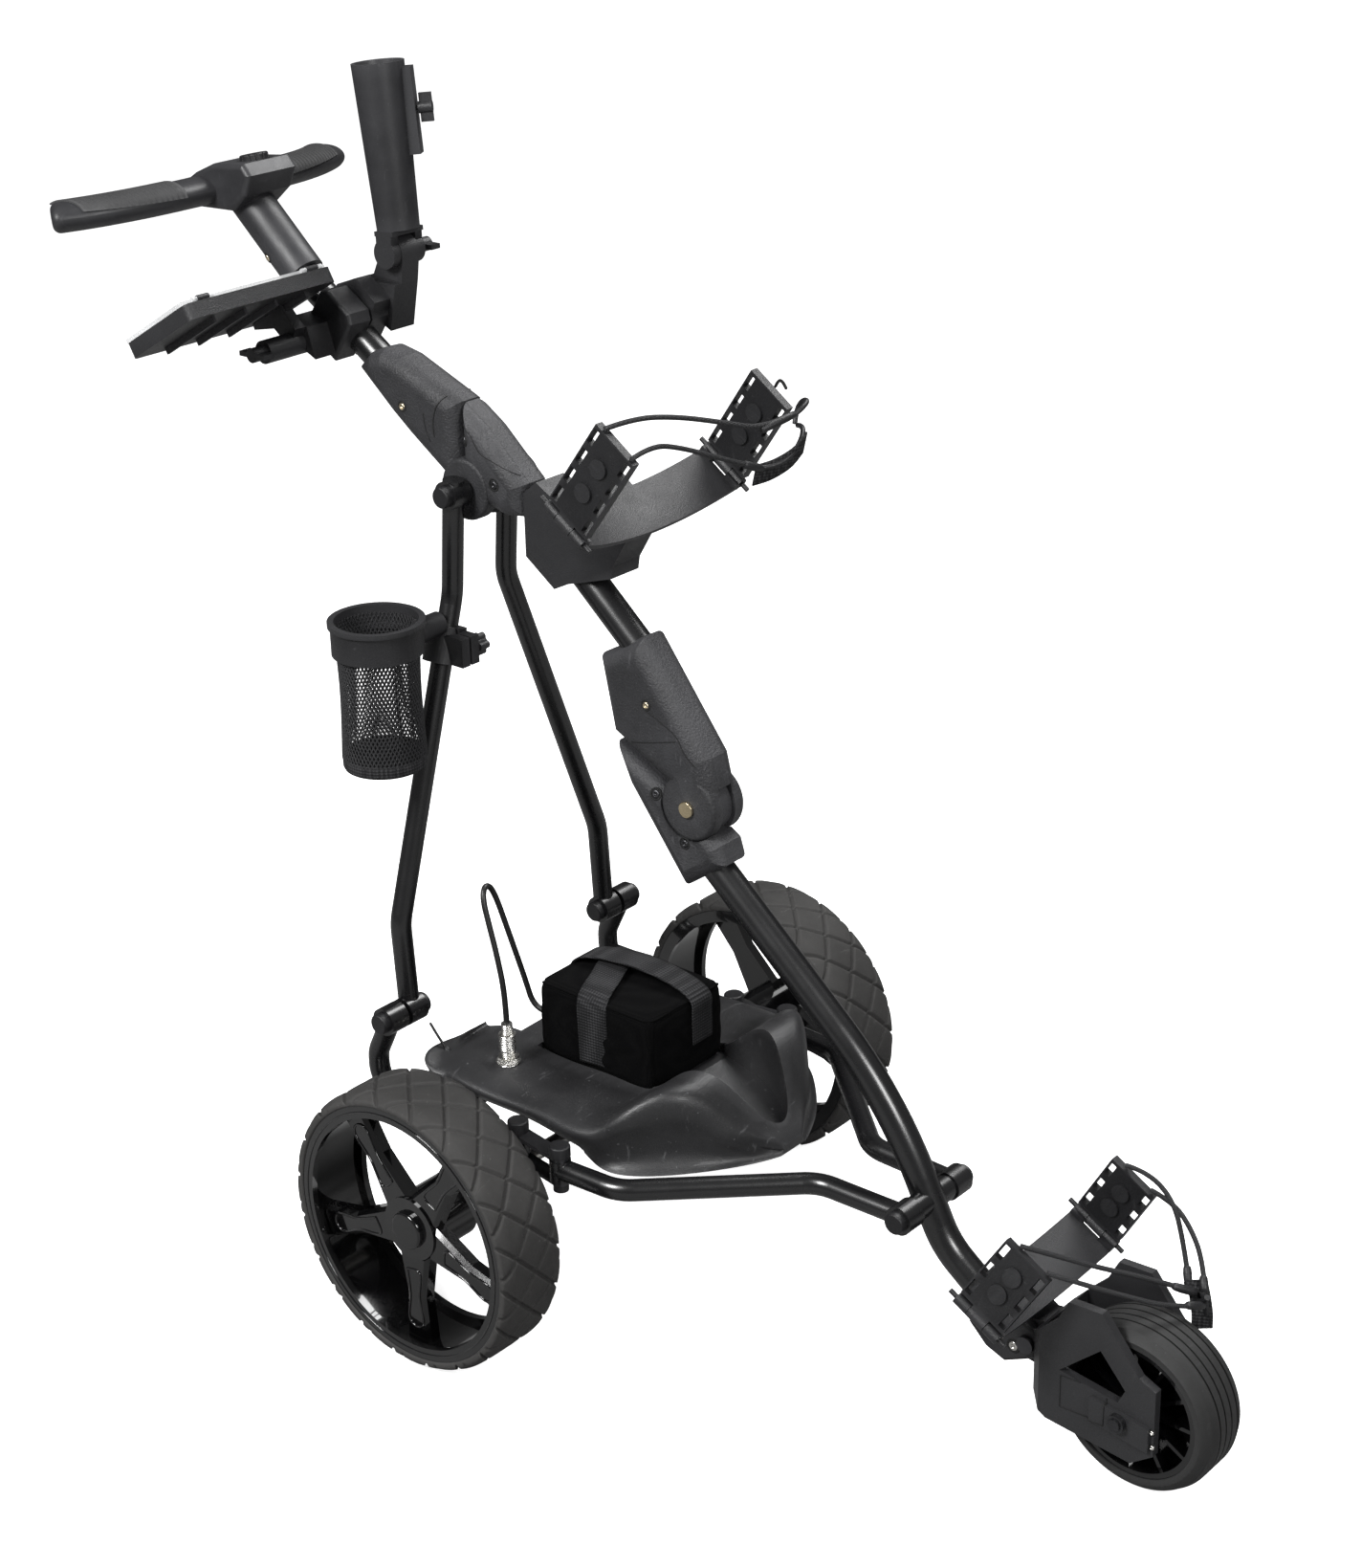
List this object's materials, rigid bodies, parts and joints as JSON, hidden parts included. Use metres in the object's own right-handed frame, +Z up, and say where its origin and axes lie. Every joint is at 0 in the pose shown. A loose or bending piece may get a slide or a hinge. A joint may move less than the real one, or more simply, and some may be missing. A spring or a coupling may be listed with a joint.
{
  "type": "electric golf trolley",
  "caption": "Folding electric golf trolley with a front wheel on a fork, powered rear wheels, curved bag cradles, battery tray, grip bar, umbrella, scorecard and drink holders.",
  "frame": {"origin": "on the ground, under the middle of the whole object's box", "axes": "+X forward to the front wheel, +Y to the trolley's left, +Z up"},
  "size_m": [1.3278, 0.626, 1.2198],
  "materials": {
    "black_plastic": "fine moulded texture",
    "rubber_tread": "matt, dusty in the grooves",
    "rim_plastic": "smooth matt",
    "black_frame": "satin powder coat over aluminium tube",
    "bolt_steel": "blackened",
    "motor_steel": "satin",
    "gear_plastic": "greased",
    "axle_steel": "turned",
    "soft_black": "soft touch",
    "bag_fabric": "woven",
    "cell_case": "plain case inside the bag",
    "lead_skin": "smooth",
    "elastic": "braided sleeve",
    "net": "open net",
    "clear_lid": "clear moulded plastic"
  },
  "bodies": {
    "chassis": {"axle_frame": "black_frame", "bearing_blocks": "black_plastic", "gearbox_housing": "black_plastic", "motor": "motor_steel", "tray": "black_plastic", "power_socket": "black_plastic", "lower_stays": "black_frame", "link_plates": "bolt_steel", "chassis_bolts": "bolt_steel"},
    "drive": {"drive_axle": "axle_steel", "tyre_left": "rubber_tread", "rim_left": "rim_plastic", "tyre_right": "rubber_tread", "rim_right": "rim_plastic"},
    "pinion": {"motor_pinion": "gear_plastic"},
    "button_left": {"hub_button_left": "rim_plastic"},
    "button_right": {"hub_button_right": "rim_plastic"},
    "stays": {"rear_stays": "black_frame", "stay_bolts": "bolt_steel", "drink_clamp": "black_plastic", "drink_knob": "black_plastic"},
    "cup": {"drink_ring": "black_plastic", "drink_net": "net"},
    "battery": {"battery_pack": "cell_case", "battery_bag": "bag_fabric", "battery_plug": "black_plastic", "battery_lead": "lead_skin"},
    "lower": {"lower_tube": "black_frame", "knee_base_shells": "black_plastic", "fold_pin": "bolt_steel", "front_fork": "black_plastic", "fork_bracket": "black_plastic", "fork_bolts": "bolt_steel", "tracking_plates": "bolt_steel", "lower_saddle": "black_plastic", "lower_bungees": "elastic"},
    "front_wheel": {"front_tyre": "rubber_tread", "front_rim": "rim_plastic"},
    "lower_pad_left": {"lower_pad_left": "black_plastic"},
    "lower_pad_right": {"lower_pad_right": "black_plastic"},
    "upper": {"mid_tube": "black_frame", "knee_top_shells": "black_plastic", "elbow_shells": "black_plastic", "upper_saddle": "black_plastic", "upper_bungees": "elastic"},
    "upper_pad_left": {"upper_pad_left": "black_plastic"},
    "upper_pad_right": {"upper_pad_right": "black_plastic"},
    "handle": {"handle_tube": "black_frame", "elbow_sleeve_shells": "black_plastic", "tee_handle": "black_plastic", "handle_grips": "soft_black", "clamp_block": "black_plastic"},
    "dial": {"speed_dial": "black_plastic"},
    "umbrella": {"umbrella_swivel": "black_plastic", "umbrella_tube": "black_plastic", "umbrella_knobs": "black_plastic"},
    "card": {"card_tray": "black_plastic", "card_arm": "black_plastic"},
    "card_lid": {"card_lid": "clear_lid"}
  },
  "joints": [
    {"name": "drive_turn", "type": "hinge", "parent": "chassis", "child": "drive", "pos_m": [-0.09507, 0, 0.15], "axis": [0, 1, 0], "continuous": true},
    {"name": "pinion_turn", "type": "hinge", "parent": "chassis", "child": "pinion", "pos_m": [-0.04307, 0, 0.15], "axis": [0, 1, 0], "continuous": true},
    {"name": "left_hub_press", "type": "slide", "parent": "drive", "child": "button_left", "axis": [0, -1, 0], "range_m": [0, 0.004], "stiffness_N_per_m": 300},
    {"name": "right_hub_press", "type": "slide", "parent": "drive", "child": "button_right", "axis": [0, 1, 0], "range_m": [0, 0.004], "stiffness_N_per_m": 300},
    {"name": "battery_lift", "type": "slide", "parent": "chassis", "child": "battery", "axis": [0, 0, -1], "range_m": [-0.1, 0]},
    {"name": "stays_fold", "type": "hinge", "parent": "chassis", "child": "stays", "pos_m": [-0.22907, 0, 0.292], "axis": [0, 1, 0], "range_deg": [0, 18]},
    {"name": "frame_fold", "type": "hinge", "parent": "chassis", "child": "lower", "pos_m": [0.32493, 0, 0.203], "axis": [0, 1, 0], "range_deg": [-24.3, 0]},
    {"name": "main_fold", "type": "hinge", "parent": "lower", "child": "upper", "pos_m": [0.04593, 0, 0.549], "axis": [0, 1, 0], "range_deg": [0, 70]},
    {"name": "front_wheel_turn", "type": "hinge", "parent": "lower", "child": "front_wheel", "pos_m": [0.57693, 0, 0.087], "axis": [0, 1, 0], "continuous": true},
    {"name": "handle_fold", "type": "hinge", "parent": "upper", "child": "handle", "pos_m": [-0.23907, 0, 0.82], "axis": [0, 1, 0], "range_deg": [-90, 0]},
    {"name": "cup_tilt", "type": "hinge", "parent": "stays", "child": "cup", "pos_m": [-0.24507, 0, 0.688], "axis": [0, 1, 0], "range_deg": [-30, 30]},
    {"name": "speed_turn", "type": "hinge", "parent": "handle", "child": "dial", "pos_m": [-0.54107, 0, 1.102], "axis": [-0.2079, 0, 0.9781], "range_deg": [0, 270]},
    {"name": "umbrella_tilt", "type": "hinge", "parent": "handle", "child": "umbrella", "pos_m": [-0.38307, 0, 1.029], "axis": [0, 1, 0], "range_deg": [-25, 25]},
    {"name": "card_tilt", "type": "hinge", "parent": "handle", "child": "card", "pos_m": [-0.43107, 0, 0.948], "axis": [0, 1, 0], "range_deg": [-20, 20]},
    {"name": "card_lid_turn", "type": "hinge", "parent": "card", "child": "card_lid", "pos_m": [-0.40615, 0, 1.02734], "axis": [0, 1, 0], "range_deg": [0, 85]},
    {"name": "upper_pad_left_turn", "type": "hinge", "parent": "upper", "child": "upper_pad_left", "pos_m": [-0.01588, 0.11495, 0.8537], "axis": [0.809, 0, -0.5878], "range_deg": [-8, 8]},
    {"name": "upper_pad_right_turn", "type": "hinge", "parent": "upper", "child": "upper_pad_right", "pos_m": [-0.01588, -0.11495, 0.8537], "axis": [0.809, 0, -0.5878], "range_deg": [-8, 8]},
    {"name": "lower_pad_left_turn", "type": "hinge", "parent": "lower", "child": "lower_pad_left", "pos_m": [0.45238, 0.10019, 0.17352], "axis": [0.866, 0, -0.5], "range_deg": [-8, 8]},
    {"name": "lower_pad_right_turn", "type": "hinge", "parent": "lower", "child": "lower_pad_right", "pos_m": [0.45238, -0.10019, 0.17352], "axis": [0.866, 0, -0.5], "range_deg": [-8, 8]}
  ],
  "couplings": [
    {"joint": "pinion_turn", "follows": "drive_turn", "ratio": -3.3333},
    {"joint": "frame_fold", "follows": "main_fold", "ratio": -0.34588},
    {"joint": "stays_fold", "follows": "main_fold", "ratio": 0.25635}
  ]
}
